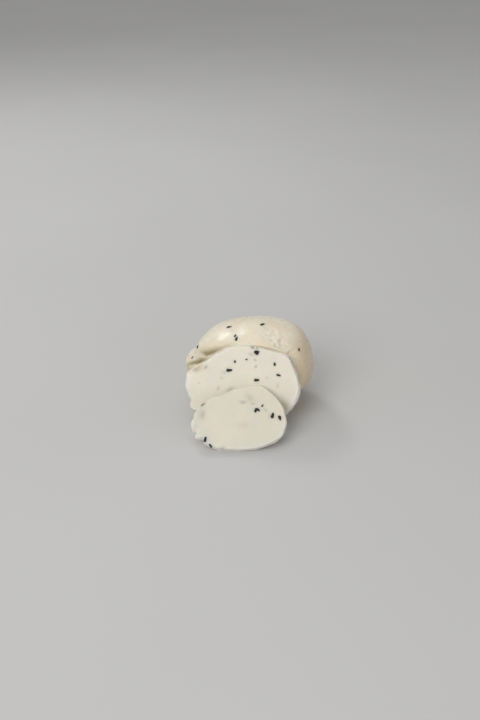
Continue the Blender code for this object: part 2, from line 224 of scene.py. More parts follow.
def clouding(points, size):
    """Soft random heights from 0 to 1 at points, about one size apart, with finer ones on them."""
    places = [Vector(point) / size for point in points]
    heights = np.array([noise.noise(place) + FINER_SHARE * noise.noise(place * FINER) for place in places])
    return np.clip(0.5 + CLOUD_CONTRAST * heights, 0.0, 1.0)


def smooth(piece):
    """Shades a piece smooth, but for its sharp edges."""
    bpy.ops.object.select_all(action="DESELECT")
    piece.select_set(True)
    bpy.context.view_layer.objects.active = piece
    bpy.ops.object.shade_smooth_by_angle(angle=SHARP_FROM)


FINER = 2.1  # how much closer together the finer heights of clouding lie
FINER_SHARE = 0.4
CLOUD_CONTRAST = 0.9
RELIEF = [(11.0 * MM, 0.24 * MM), (2.6 * MM, 0.06 * MM)]  # the skin's unevenness: how wide and how deep
ON_CUT = 0.2  # a point this near the cut, as a share of the edge's radius, is in the cut face
BISECT_REACH = 1e-7
EDGE_RINGS = (0.05, 0.2, 0.5, 1.0)  # where rings cut the skin behind the cut's edge, as shares of its radius
SHARP_FROM = math.radians(40.0)
bpy.ops.object.select_all(action="DESELECT")
bpy.ops.mesh.primitive_uv_sphere_add(
    segments=BALL_SEGMENTS, ring_count=BALL_RINGS, radius=1.0, rotation=(math.pi / 2.0, 0.0, 0.0)
)
block = bpy.context.object
block.name = "block_curd"
bpy.ops.object.transform_apply(rotation=True)
unit = get_points(block)
even = np.arctan2(unit[:, 2], unit[:, 0])
level = np.arccos(np.clip(unit[:, 1], -1.0, 1.0))  # from the back pole
plain = skin(
    even + LEFT_CROWDING * np.sin(even),
    np.cos(level + FRONT_CROWDING * np.sin(level)) * BALL_HALF_DEPTH,
)
folds = [pressed(plain, fold_points(fold)) for fold in FOLDS + LIPS]
creases = [pressed(plain, fold_points(crease)) for crease in CREASES]
dents = []
for angle, along, depth, half_width in DENTS:
    dents.append(pressed(plain, [(skin(math.radians(angle), along * MM), depth * MM, half_width * MM)]))
from_cut = np.clip((plain[:, 1] - CUT_PLACE) / LUMP_FADE, 0.0, 1.0)
kneaded = pressed(plain, fold_points(KNEADED)) / MM * from_cut
lumpy = clouding(plain, LUMP_SIZE)
gaps = kneaded * (1.0 - lumpy)
inward = -plain / np.linalg.norm(plain, axis=1)[:, None]
set_points(block, plain + inward * (sum(folds) + sum(creases) + sum(dents) + gaps * LUMP_DEPTH)[:, None])
# Painted light: the lumps' raised tops are painted whiter; the same number also makes them glossier.
set_shade(block, "lumps", kneaded * lumpy)
# Painted shade: darker, browner skin in the folds and creases, under the gathered bulge and in the gaps
# between the lumps.
shaded = pressed(plain, fold_points(GATHERED_SHADE)) / MM + GAP_SHADE * gaps**2
set_shade(block, "crease", np.clip((sum(folds[:3]) + sum(creases)) / FOLD_SHADE + shaded, 0.0, 1.0))
# Painted shade in the valley above the middle slice.
set_shade(block, "valley_shade", pressed(plain, fold_points(VALLEY_SHADE_LINE)) / MM)

start_edit(block)
bpy.ops.mesh.bisect(
    plane_co=(0.0, CUT_PLACE, 0.0), plane_no=(0.0, -1.0, 0.0), clear_outer=True, threshold=BISECT_REACH
)
for share in EDGE_RINGS:
    ring = (0.0, CUT_PLACE + KNIFE_EDGE * share, 0.0)
    bpy.ops.mesh.select_all(action="SELECT")
    bpy.ops.mesh.bisect(plane_co=ring, plane_no=(0.0, -1.0, 0.0), threshold=BISECT_REACH)
end_edit()
points = get_points(block)
left = np.clip(1.0 - (points[:, 1] - CUT_PLACE) / KNIFE_EDGE, 0.0, 1.0)
lost = KNIFE_EDGE * (1.0 - np.sqrt(1.0 - left**2))
reach = np.hypot(points[:, 0], points[:, 2])
points[:, 0] *= 1.0 - lost / reach
points[:, 2] *= 1.0 - lost / reach
set_points(block, points)
for size, depth in RELIEF:
    press_in(block, "CLOUDS", size, depth)
start_edit(block)
bpy.ops.mesh.select_all(action="DESELECT")
bpy.ops.mesh.select_mode(type="EDGE")
bpy.ops.mesh.select_non_manifold(extend=False)
bpy.ops.mesh.fill_grid(span=BALL_SEGMENTS // 4)
end_edit()
points = get_points(block)
set_shade(block, "cut", points[:, 1] < CUT_PLACE + ON_CUT * KNIFE_EDGE)
start_edit(block)
bpy.ops.mesh.normals_make_consistent(inside=False)
bpy.ops.mesh.bisect(
    plane_co=(0.0, 0.0, -BALL_PLACE.z),
    plane_no=(0.0, 0.0, -1.0),
    clear_outer=True,
    use_fill=True,
    threshold=BISECT_REACH,
)
end_edit()
block_world = Matrix.Translation(BALL_PLACE) @ Matrix.Rotation(BALL_TURN, 4, "Z")
block.data.transform(block_world)
smooth(block)


def add_node(tree, kind, inputs=None, **settings):
    """Adds a shader node and returns its first output; an input is a value or another node's output."""
    made = tree.nodes.new("ShaderNode" + kind)
    for name, value in settings.items():
        setattr(made, name, value)
    for name, value in (inputs or {}).items():
        if isinstance(value, bpy.types.NodeSocket):
            tree.links.new(value, made.inputs[name])
        else:
            made.inputs[name].default_value = value
    return made.outputs[0]


def speckle(tree, place, scale, detail=2.0, low=0.35, high=0.65):
    """Soft cloudy patches from 0 to 1, about 1 / scale metres apart."""
    cloud = add_node(tree, "TexNoise", {"Vector": place, "Scale": scale, "Detail": detail})
    return spread(tree, cloud, low, high)


def spread(tree, value, low, high, to_low=0.0, to_high=1.0):
    """Spreads the range from low to high over another range, smoothly and no further."""
    ends = {"Value": value, "From Min": low, "From Max": high, "To Min": to_low, "To Max": to_high}
    return add_node(tree, "MapRange", ends, interpolation_type="SMOOTHSTEP")


def times(tree, first, second):
    """Multiplies two numbers or outputs."""
    made = tree.nodes.new("ShaderNodeMath")
    made.operation = "MULTIPLY"
    for socket, value in zip(made.inputs, (first, second)):
        if isinstance(value, bpy.types.NodeSocket):
            tree.links.new(value, socket)
        else:
            socket.default_value = value
    return made.outputs[0]


def tint(tree, share, under, over):
    """Lays one colour over another by a share."""
    made = tree.nodes.new("ShaderNodeMix")
    made.data_type = "RGBA"
    colours = [socket for socket in made.inputs if socket.type == "RGBA"]
    for socket, value in zip([made.inputs["Factor"], *colours], (share, under, over)):
        if isinstance(value, bpy.types.NodeSocket):
            tree.links.new(value, socket)
        else:
            socket.default_value = value if isinstance(value, float) else (*value, 1.0)
    return next(socket for socket in made.outputs if socket.type == "RGBA")


def shade_of(tree, name):
    """What set_shade wrote on the mesh."""
    attribute = tree.nodes.new("ShaderNodeAttribute")
    attribute.attribute_name = name
    return attribute.outputs["Fac"]


# The skin's colours, painted shade and painted light among them, and how much of each shows where it is
# strongest.
CREAM = (0.88, 0.825, 0.68)
WARM_CREAM = (0.84, 0.75, 0.57)
# Painted shade and a painted brown bounce, darkening the skin low at the right.
LOW_RIGHT_SHADE = (0.50, 0.30, 0.15)
LOW_RIGHT_SHADE_SHARE = 0.9
# Painted shade and a painted brown bounce on the right flank.
RIGHT_FLANK_SHADE = (0.68, 0.50, 0.33)
RIGHT_FLANK_SHADE_SHARE = 0.5
# Painted shade in the valley above the middle slice.
VALLEY_SHADE_COLOUR = (0.64, 0.50, 0.26)
VALLEY_SHADE_SHARE = 0.22
# Painted shade in the folds, under the gathered bulge and between the lumps.
FOLD_PAINTED_SHADE = (0.36, 0.29, 0.15)
FOLD_SHADE_SHARE = 0.85
# Painted light on the lumps' raised tops.
LUMP_TOP_LIGHT = (0.90, 0.83, 0.74)
LUMP_TOP_LIGHT_SHARE = 0.9
CURD_WHITE = (0.90, 0.84, 0.72)
SEED_STAIN = (0.09, 0.12, 0.095)
# Where a painted shade begins and where it is whole.
LOW_SHADE_HEIGHTS = (45.0 * MM, 4.0 * MM)
LOW_SHADE_RIGHT = (8.0 * MM, 42.0 * MM)
RIGHT_FLANK_SHADE_RANGE = (21.0 * MM, 38.0 * MM)
# How many patches, dents or grains the skin has to the metre, and how deep its dents and grains look.
SKIN_PATCHES = 55.0
LOW_SHADE_PATCHES = 90.0
GLOSS_PATCHES = 160.0
SKIN_DENTS = 260.0
SKIN_GRAINS = 1500.0
DENT_LOOK = {"Distance": 0.08 * MM, "Strength": 0.3}
GRAIN_LOOK = {"Distance": 0.02 * MM, "Strength": 0.3}
SKIN_ROUGHNESS = (0.27, 0.33)
WET_LUMPS = 0.6  # the share of its roughness that the skin keeps on the lumps
SKIN_DEPTH = 0.45  # how much of the light sinks in
CURD_RADIUS = (1.0, 0.62, 0.32)  # how far red, green and blue light goes, as shares of the next
CURD_REACH = 2.2 * MM


def new_finish(name, roughness):
    """An empty finish: its material, its node tree, its shader and the place on the piece."""
    made = bpy.data.materials.new(name)
    made.use_nodes = True
    tree = made.node_tree
    shader = tree.nodes["Principled BSDF"]
    shader.inputs["Roughness"].default_value = roughness
    place = tree.nodes.new("ShaderNodeTexCoord").outputs["Object"]
    return made, tree, shader, place


def set_curd_depth(shader, weight):
    """Light sinks a few millimetres into fresh curd, red furthest."""
    shader.inputs["Subsurface Weight"].default_value = weight
    shader.inputs["Subsurface Radius"].default_value = CURD_RADIUS
    shader.inputs["Subsurface Scale"].default_value = CURD_REACH


def new_skin_finish():
    """Moist cream skin, with painted shade low at the right, on the right flank, in its valley and in its
    folds, and painted light on its lumps.
    """
    made, tree, shader, place = new_finish("cheese_skin", 0.3)
    colour = tint(tree, speckle(tree, place, SKIN_PATCHES), CREAM, WARM_CREAM)
    position = tree.nodes.new("ShaderNodeSeparateXYZ")
    tree.links.new(place, position.inputs["Vector"])
    # Painted shade: the skin darker and browner in patches low at the right.
    low = spread(tree, position.outputs["Z"], *LOW_SHADE_HEIGHTS)
    right = spread(tree, position.outputs["X"], *LOW_SHADE_RIGHT)
    low_right_shading = times(tree, times(tree, low, right), speckle(tree, place, LOW_SHADE_PATCHES, 3.0, 0.2, 0.7))
    colour = tint(tree, times(tree, low_right_shading, LOW_RIGHT_SHADE_SHARE), colour, LOW_RIGHT_SHADE)
    # Painted shade: the right flank darker and browner.
    far_right = spread(tree, position.outputs["X"], *RIGHT_FLANK_SHADE_RANGE)
    colour = tint(tree, times(tree, far_right, RIGHT_FLANK_SHADE_SHARE), colour, RIGHT_FLANK_SHADE)
    colour = tint(tree, times(tree, shade_of(tree, "valley_shade"), VALLEY_SHADE_SHARE), colour, VALLEY_SHADE_COLOUR)
    colour = tint(tree, times(tree, shade_of(tree, "crease"), FOLD_SHADE_SHARE), colour, FOLD_PAINTED_SHADE)
    colour = tint(tree, times(tree, shade_of(tree, "lumps"), LUMP_TOP_LIGHT_SHARE), colour, LUMP_TOP_LIGHT)
    colour = tint(tree, shade_of(tree, "cut"), colour, CURD_WHITE)
    colour = tint(tree, shade_of(tree, "stain"), colour, SEED_STAIN)
    tree.links.new(colour, shader.inputs["Base Color"])
    gloss = speckle(tree, place, GLOSS_PATCHES, 3.0)
    rough = spread(tree, gloss, 0.0, 1.0, *SKIN_ROUGHNESS)
    wet_lumps_and_cool_edge = spread(tree, shade_of(tree, "lumps"), 0.0, 0.6, 1.0, WET_LUMPS)
    tree.links.new(times(tree, rough, wet_lumps_and_cool_edge), shader.inputs["Roughness"])
    dents = add_node(tree, "TexNoise", {"Vector": place, "Scale": SKIN_DENTS, "Detail": 3.0})
    grains = add_node(tree, "TexNoise", {"Vector": place, "Scale": SKIN_GRAINS, "Detail": 2.0})
    bump = add_node(tree, "Bump", {"Height": dents, **DENT_LOOK})
    bump = add_node(tree, "Bump", {"Height": grains, **GRAIN_LOOK, "Normal": bump})
    tree.links.new(bump, shader.inputs["Normal"])
    set_curd_depth(shader, SKIN_DEPTH)
    return made


block.data.materials.append(new_skin_finish())
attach(block, "root")
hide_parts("block")

# ---------------------------------------------------------------------------------------------------------
# The middle slice. The knife drew it off the ball's front in one pull, and left its front edge round and its
# rim unflared where it came in at the top left. It stands almost upright on the flat of its own foot and
# leans back against the block's cut face.
SLICE_THICKNESS = 5.6 * MM
RIM_FLARE = 1.6 * MM  # a slice's back is this much larger all round than its front, as the ball was
RIM_FULLNESS = 0.75 * MM  # how far the rim bulges past a straight flare
FOOT_FLARE = 0.3  # a slice's foot has this share of its flare
FRONT_EDGE = 0.45 * MM  # the softened edge of a slice's front, where the knife didn't drag it rounder
TOUCHING_GAP = 0.3 * MM
FOOT_FLAT = 0.5 * MM  # what a slice's own weight takes off its foot
SLICE_SEGMENTS = 640
# Where rings cut the rim, as shares of the thickness, closer at the two edges.
RIM_RINGS = [0.003, 0.012, 0.03, 0.06, 0.1, 0.15, 0.2, 0.3, 0.42, 0.55, 0.7, 0.85, 0.9375, 0.97, 0.992]

# Each slice: the half width, rise and drop of its front face, how far it leans from lying flat, its turns
# about the upright axis and in its own plane, how far aside of the ball it stands, and its outline. The
# same kind of swells say where its rim flares less, where the knife dragged its front edge rounder, where
# its front is greyer and cooler near the edge, where painted light whitens its rim and its face's edge, and
# where it lost small crumbs.
MIDDLE_SLICE = {
    "size": (36.7 * MM, 27.6 * MM, 25.5 * MM),
    "lean": math.radians(74.0),
    "turn": math.radians(-5.0),
    "roll": math.radians(-1.5),
    "aside": -6.4 * MM,
    "swells": ROUND_SWELLS
    + [
        (166, 5, 0.03),
        (140, 16, -0.075),
        (117, 12, -0.04),
        (66, 11, -0.038),
        (46, 7, 0.042),
        (2, 12, 0.032),
        (346, 10, 0.015),
        (216, 6, 0.083),
        (204, 4, -0.024),
        (194, 7, -0.018),
    ],
    "flare": [(75, 65, -1.05)],
    "front_edge": [(166, 24, 4.0), (343, 16, 3.4)],
    "cool_edge": [(195, 20, 0.4)],
    "lit_rim": [(190, 28, 1.0), (345, 50, 1.0)],
    "ragged": [(190, 28, 1.0), (345, 50, 1.0)],
    # Seeds just under the surface, which show as soft grey marks: the place right of and above the
    # outline's middle and the length in millimetres, the turn in degrees, and how much of their colour
    # comes through.
    "sunken": [
        (6.5, 28.0, 3.2, -24, 0.75),
        (9.6, 27.6, 2.4, 60, 0.62),
        (5.6, 23.2, 3.4, -20, 0.22),
        (8.6, 19.6, 1.8, 0, 0.5),
        (9.4, 15.2, 2.0, 60, 0.55),
        (-23.3, 12.7, 2.6, 60, 0.42),
        (-10.9, 10.0, 4.0, 15, 0.2),
        (-12.6, 6.1, 3.2, 0, 0.16),
        (-14.6, -1.1, 3.0, 70, 0.26),
        (-27.5, 1.6, 2.0, 0, 0.2),
        (-6.8, -1.6, 5.6, 38, 0.3),
        (16.9, 8.0, 2.4, 0, 0.2),
        (-30.2, 10.4, 4.8, 12, 0.3),
        (10.4, 0.2, 3.2, 80, 0.14),
    ],
    # Tan marks: the one at the lower right is a painted shadow cast by the front slice, the four at the top
    # left are painted shade under the block's folds, and the rest tint the curd tan.
    "tan_and_shade_marks": [
        (24.5, 3.5, 3.0, 80, 0.4),
        (30.3, -10.2, 9.0, -60, 0.55),
        (8.5, 23.6, 5.0, 0, 0.2),
        (-30.3, 12.8, 10.0, 14, 1.0),
        (-27.0, 15.0, 6.0, 30, 0.5),
        (-35.0, 11.0, 3.2, 95, 0.5),
        (-34.3, 8.6, 3.4, -55, 0.5),
    ],
}


def softened(distance, edge):
    """How much a round edge takes off a side at a distance from the face that it meets."""
    near = np.clip(1.0 - distance / edge, 0.0, 1.0)
    return edge * (1.0 - np.sqrt(1.0 - near**2))


def rim_point(form, angle, depth):
    """Points of a slice's rim at a depth behind its front."""
    half_width, rise, drop = form["size"]
    share = np.clip(depth / (SLICE_THICKNESS - KNIFE_EDGE), 0.0, 1.0)
    flare = (RIM_FLARE * share + RIM_FULLNESS * share * (1.0 - share)) * swelling(angle, form["flare"])
    lost = softened(depth, FRONT_EDGE * swelling(angle, form["front_edge"]))
    lost = lost + softened(SLICE_THICKNESS - depth, KNIFE_EDGE)
    growth = flare - lost
    foot_growth = FOOT_FLARE * flare - lost
    return outline(angle, half_width + growth, rise + growth, drop + foot_growth, form["swells"])


ON_RIM = 0.999  # a point this far out, as a share of its radius, is on a slice's rim
EDGE_FROM = 0.9  # where the edge of a slice begins, as a share of its radius
PAINTED_LIGHT_ON_FACE = 0.6  # how much of the rim's white, a painted light, shows on the faces at their edges
CRUMB_SIZE = 3.0 * MM
CRUMB_DEPTH = 0.7 * MM
COOL_EDGE_FALL = 8  # how quickly the greyer, cooler edge of a slice's front fades toward its middle
MARK_DEPTH = 2.5 * MM  # how far the marks at a slice's edge reach over its rim
MARK_LENGTH = 0.5  # the shares of a mark's length at which it fades, along it and across it
MARK_WIDTH = 0.3
SLICE_RELIEF = [(9.0 * MM, 0.25 * MM), (1.6 * MM, 0.05 * MM)]


def marks_at(points, marks):
    """How strongly a slice's front shows a list of soft oval marks, at points in its own plane."""
    shown = np.zeros(len(points))
    for right, up, length, turn, strength in marks:
        across = points[:, :2] - np.array((right * MM, up * MM))
        angle = math.radians(turn)
        along = across @ np.array((math.cos(angle), math.sin(angle)))
        beside = across @ np.array((-math.sin(angle), math.cos(angle)))
        away = (along / (MARK_LENGTH * length * MM)) ** 2 + (beside / (MARK_WIDTH * length * MM)) ** 2
        shown = np.maximum(shown, strength * np.exp(-away))
    return np.where(points[:, 2] > -MARK_DEPTH, shown, 0.0)


def cut_slice(name, form):
    """A slice lying on its back: its front at Z = 0, and the way up the slope along Y."""
    bpy.ops.object.select_all(action="DESELECT")
    bpy.ops.mesh.primitive_circle_add(vertices=SLICE_SEGMENTS, radius=1.0)
    made = bpy.context.object
    made.name = name
    start_edit(made)
    bpy.ops.mesh.fill_grid(span=SLICE_SEGMENTS // 4)
    bpy.ops.mesh.select_all(action="SELECT")
    bpy.ops.mesh.extrude_region_move(TRANSFORM_OT_translate={"value": (0.0, 0.0, -SLICE_THICKNESS)})
    for share in RIM_RINGS:
        bpy.ops.mesh.select_all(action="SELECT")
        bpy.ops.mesh.bisect(
            plane_co=(0.0, 0.0, -share * SLICE_THICKNESS), plane_no=(0.0, 0.0, 1.0), threshold=BISECT_REACH
        )
    bpy.ops.mesh.select_all(action="SELECT")
    bpy.ops.mesh.normals_make_consistent(inside=False)
    end_edit()
    unit = get_points(made)
    depth = np.clip(-unit[:, 2], 0.0, SLICE_THICKNESS)
    even = np.arctan2(unit[:, 1], unit[:, 0])
    angle = even + LEFT_CROWDING * np.sin(even)
    reach = np.hypot(unit[:, 0], unit[:, 1])
    right, up = rim_point(form, angle, depth)
    points = np.stack([right * reach, up * reach, -depth], axis=1)
    set_points(made, points)
    front_edge = FRONT_EDGE * swelling(angle, form["front_edge"])
    from_edges = np.minimum(depth / front_edge, (SLICE_THICKNESS - depth) / KNIFE_EDGE)
    rind = np.where(reach > ON_RIM, np.clip(from_edges, 0.0, 1.0), 0.0)
    edge = np.clip((reach - EDGE_FROM) / (1.0 - EDGE_FROM), 0.0, 1.0) ** 2
    rim_lit = swelling(angle, form["lit_rim"]) - 1.0
    ragged = swelling(angle, form["ragged"]) - 1.0
    wet_lumps_and_cool_edge = (swelling(angle, form["cool_edge"]) - 1.0) * reach**COOL_EDGE_FALL
    # Painted light: where the swells say, the rim and the face near its edge are painted whiter, as if
    # catching the light.
    set_shade(made, "rind", np.maximum(rind, PAINTED_LIGHT_ON_FACE * edge) * rim_lit)
    set_shade(made, "ragged", edge * np.minimum(ragged, 1.0))
    set_shade(made, "cool_edge_share", np.where(depth < FRONT_EDGE, wet_lumps_and_cool_edge, 0.0))
    set_shade(made, "stain", marks_at(points, form["sunken"]))
    set_shade(made, "tan_and_shade", marks_at(points, form["tan_and_shade_marks"]))
    return made


def crumble(piece):
    """Takes small crumbs off a slice's edge, in its own plane, so that its faces stay flat."""
    points = get_points(piece)
    lost = CRUMB_DEPTH * (1.0 - clouding(points, CRUMB_SIZE)) * get_shade(piece, "ragged")
    points[:, :2] *= (1.0 - lost / np.maximum(np.hypot(points[:, 0], points[:, 1]), CRUMB_SIZE))[:, None]
    set_points(piece, points)


def stand_slice(made, form, touched):
    """Leans a slice, stands it on its foot and slides it back until it all but touches what it leans on."""
    turned = (
        Matrix.Rotation(form["turn"], 4, "Z")
        @ Matrix.Rotation(form["lean"], 4, "X")
        @ Matrix.Rotation(form["roll"], 4, "Z")
    )
    points = get_points(made) @ np.array(turned.to_3x3()).T
    world = Matrix.Translation((BALL_PLACE.x + form["aside"], 0.0, -FOOT_FLAT - points[:, 2].min())) @ turned
    point, outward = touched
    nearest = ((points + np.array(world.translation) - np.array(point)) @ np.array(outward)).min()
    world = Matrix.Translation((0.0, (TOUCHING_GAP - nearest) / outward.y, 0.0)) @ world
    crumble(made)
    made.data.transform(world)
    for size, depth in SLICE_RELIEF:
        press_in(made, "CLOUDS", size, depth)
    start_edit(made)
    bpy.ops.mesh.bisect(
        plane_co=(0.0, 0.0, 0.0),
        plane_no=(0.0, 0.0, -1.0),
        clear_outer=True,
        use_fill=True,
        threshold=BISECT_REACH,
    )
    end_edit()
    smooth(made)
    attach(made, "root")
    return world


# The cut curd's colours, and how much of each shows where it is strongest.
COOL_CURD = (0.86, 0.82, 0.71)
CRUMB_SHARE = 0.12
# Painted light on the rims and the faces' edges.
RIM_PAINTED_LIGHT = (0.94, 0.90, 0.86)
RIM_LIGHT_SHARE = 0.8
# A greyer, cooler tint on a slice's front near its edge.
COOL_EDGE_GREY = (0.66, 0.71, 0.63)
COOL_EDGE_SHARE = 0.55
# Tan marks, some of them painted shadow and painted shade.
CURD_TAN_AND_SHADE = (0.60, 0.48, 0.29)
# How many patches, crumbs, grains or pits it has to the metre, and how deep its grains and pits look.
CURD_PATCHES = 70.0
CURD_CRUMBS = 900.0
CURD_GLOSS_PATCHES = 220.0
CURD_GRAINS = 420.0
CURD_PITS = 520.0
CURD_GRAIN_LOOK = {"Distance": 0.12 * MM, "Strength": 0.6}
CURD_PIT_LOOK = {"Distance": 0.08 * MM, "Strength": 0.4}
PIT_EDGE = 0.22
CURD_ROUGHNESS = (0.42, 0.6)
CURD_DEPTH = 0.5


def new_cut_finish(name, white, cool):
    """Matte cut curd: fine crumbs and pits, rim and edges painted whiter as light, cooler edges, tan marks
    and painted shade, and the marks of sunken seeds.
    """
    made, tree, shader, place = new_finish(name, 0.5)
    colour = tint(tree, speckle(tree, place, CURD_PATCHES), white, cool)
    crumbs = speckle(tree, place, CURD_CRUMBS, 3.0, 0.55, 0.75)
    colour = tint(tree, times(tree, crumbs, CRUMB_SHARE), colour, WARM_CREAM)
    colour = tint(tree, times(tree, shade_of(tree, "rind"), RIM_LIGHT_SHARE), colour, RIM_PAINTED_LIGHT)
    colour = tint(tree, times(tree, shade_of(tree, "cool_edge_share"), COOL_EDGE_SHARE), colour, COOL_EDGE_GREY)
    colour = tint(tree, shade_of(tree, "tan_and_shade"), colour, CURD_TAN_AND_SHADE)
    colour = tint(tree, shade_of(tree, "stain"), colour, SEED_STAIN)
    tree.links.new(colour, shader.inputs["Base Color"])
    gloss = speckle(tree, place, CURD_GLOSS_PATCHES, 3.0)
    tree.links.new(spread(tree, gloss, 0.0, 1.0, *CURD_ROUGHNESS), shader.inputs["Roughness"])
    grains = add_node(tree, "TexNoise", {"Vector": place, "Scale": CURD_GRAINS, "Detail": 4.0})
    pits = add_node(tree, "TexVoronoi", {"Vector": place, "Scale": CURD_PITS}, feature="F1")
    pits = spread(tree, pits, 0.0, PIT_EDGE)
    bump = add_node(tree, "Bump", {"Height": grains, **CURD_GRAIN_LOOK})
    bump = add_node(tree, "Bump", {"Height": pits, **CURD_PIT_LOOK, "Normal": bump})
    tree.links.new(bump, shader.inputs["Normal"])
    set_curd_depth(shader, CURD_DEPTH)
    return made


cut_point = block_world @ Vector((0.0, CUT_PLACE, 0.0))
cut_outward = block_world.to_3x3() @ Vector((0.0, -1.0, 0.0))
middle = cut_slice("middle_slice_curd", MIDDLE_SLICE)
middle_world = stand_slice(middle, MIDDLE_SLICE, (cut_point, cut_outward))
middle.data.materials.append(new_cut_finish("cheese_cut", CURD_WHITE, COOL_CURD))
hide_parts("middle_slice")

# ---------------------------------------------------------------------------------------------------------
# The front slice. It was the first off the ball, so it is the smallest. It lies back against the middle
# slice at a lower slope, and its left rim is torn where the soft curd clung to the knife.
FRONT_SLICE = {
    "size": (29.3 * MM, 20.8 * MM, 19.6 * MM),
    "lean": math.radians(39.5),
    "turn": math.radians(-1.0),
    "roll": math.radians(4.0),
    "aside": -8.6 * MM,
    "swells": ROUND_SWELLS
    + [
        (109, 13, -0.082),
        (65, 13, 0.105),
        (30, 12, -0.011),
        (5, 10, -0.023),
        (345, 35, 0.072),
        (318, 16, 0.068),
        (290, 16, 0.046),
        (265, 16, 0.012),
        (242, 12, 0.042),
        (228, 7, 0.008),
        (217, 3.5, -0.06),
        (208, 5.5, 0.03),
        (200, 4, -0.063),
        (182, 9, 0.011),
        (169, 3.5, -0.049),
        (142, 9, 0.009),
    ],
    "flare": [(105, 48, -0.5), (280, 45, -1.3), (330, 30, -0.5)],
    "front_edge": [(200, 40, 1.0)],
    "cool_edge": [(212, 55, 1.0), (310, 40, 0.8)],
    "lit_rim": [(205, 50, 1.0), (310, 60, 1.0)],
    "ragged": [(188, 20, 1.0), (305, 45, 1.0)],
    "sunken": [
        (4.6, 11.6, 4.2, 0, 0.32),
        (10.7, 10.2, 2.4, 0, 0.28),
        (19.0, 5.3, 3.2, -20, 0.2),
        (-21.8, 4.6, 6.4, 80, 0.3),
        (-23.4, 5.4, 10.0, 70, 0.14),
        (-27.2, -3.7, 4.0, 70, 0.14),
        (-10.2, -18.4, 3.6, 5, 0.32),
        (-21.6, 11.7, 3.4, 38, 0.95),
    ],
    "tan_and_shade_marks": [(9.3, 14.2, 6.5, -48, 0.45), (4.0, -3.9, 7.5, 0, 0.22), (-20.6, 13.0, 5.0, 38, 0.35)],
}

FRONT_CURD = (0.81, 0.757, 0.625)  # greyer than the middle slice, for it lies flatter to the light
FRONT_COOL_CURD = (0.775, 0.737, 0.615)

middle_forward = middle_world.to_3x3() @ Vector((0.0, 0.0, 1.0))
front = cut_slice("front_slice_curd", FRONT_SLICE)
front_world = stand_slice(front, FRONT_SLICE, (middle_world.translation, middle_forward))
front.data.materials.append(new_cut_finish("cheese_cut_front", FRONT_CURD, FRONT_COOL_CURD))
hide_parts("front_slice")

# ---------------------------------------------------------------------------------------------------------
# The nigella seeds. Dull black, angular and wrinkled, blunt at one end and drawn out at the other. They were
# stirred into the curd, so they lie in the skin and in the cut faces wherever the knife met them, each sunk
# to more than half and with a little of its dark colour run into the curd around it.
SEED_LENGTH = 2.9 * MM
SEED_WIDTH = 1.6 * MM
SEED_HEIGHT = 1.5 * MM
SEED_VARIETY = 0.2  # the share by which a strewn seed may be longer or shorter
SEED_TAPER = 0.6
SEED_SHOWN = 0.4  # the share of a seed's height that stands out
SEED_CLEARANCE = 6.5 * MM
# The seeds that show, at the places where they lie. In the skin: the angle on the section, the place along
# Y, the length in millimetres and the turn. In a slice's front: the place right of and above its middle, the
# length and the turn. In its rim: the angle and the share of the thickness.
SKIN_SEEDS = [
    (109.0, -2.6, 4.0, 0),
    (102.5, -14.0, 3.0, 60),
    (101.3, -16.8, 4.2, 80),
    (78.7, -3.4, 4.1, 35),
    (151.6, -5.3, 3.4, 60),
    (39.6, -16.2, 2.8, 80),
    (166.8, -7.9, 2.6, 40),
]
MIDDLE_FACE_SEEDS = [
    (9.5, 25.0, 3.9, 3),
    (8.8, 24.1, 2.5, -50),
    (10.2, 24.1, 2.5, 52),
    (-4.4, 17.7, 2.2, 80),
    (3.1, 19.6, 1.8, 10),
    (-7.8, 11.7, 4.4, 4),
    (21.6, 17.7, 2.7, 95),
    (24.6, 10.5, 3.2, -15),
    (10.5, 6.3, 3.8, 4),
]
FRONT_FACE_SEEDS = [
    (12.4, 5.6, 3.3, 80),
    (14.0, 5.8, 3.1, -38),
    (17.0, 8.4, 2.1, 60),
    (23.0, 1.4, 4.3, 77),
    (27.5, -0.6, 3.7, -72),
    (-20.8, -12.1, 4.0, 78),
    (-17.6, -16.3, 3.3, -62),
]
MIDDLE_RIM_SEEDS = [(244, 0.5), (301, 0.5)]
# The others are strewn by a draw, clear of one another and of the patch of skin whose seeds are given.
DRAW = 7
PATCH_ANGLES = (-30.0, 178.0)
PATCH_END = 23.0 * MM
STREWN_ANGLES = (-38.0, 218.0)
STREWN_FROM_CUT = 3.0 * MM
SKIN_SEED_COUNT = 34
CUT_SEED_COUNT = 9
BACK_SEED_COUNT = 6
STREWN_FROM_EDGE = 0.72  # how far out they lie in a cut face, as a share of its radius
CONTACT_HEIGHT = 38.0 * MM  # above this the middle slice lies too close to the cut face
# Flats that a seed's ridges stand between: the turn about its length, the tip toward its end, and how far
# from its middle each lies, as a share of its half height.
SEED_KINDS = [
    [(20, 6, 0.74), (95, -5, 0.78), (160, 8, 0.72), (228, -6, 0.76), (300, 4, 0.74)],
    [(45, -8, 0.72), (135, 5, 0.76), (215, -4, 0.72), (320, 9, 0.75)],
    [(5, 7, 0.75), (70, -7, 0.73), (140, 5, 0.78), (205, 4, 0.74), (265, -9, 0.76), (330, 3, 0.77)],
]
SEED_VOXEL = 0.06
WRINKLE_SIZE = 0.09  # as shares of the seed's length, as the voxel is
WRINKLE_DEPTH = 0.07


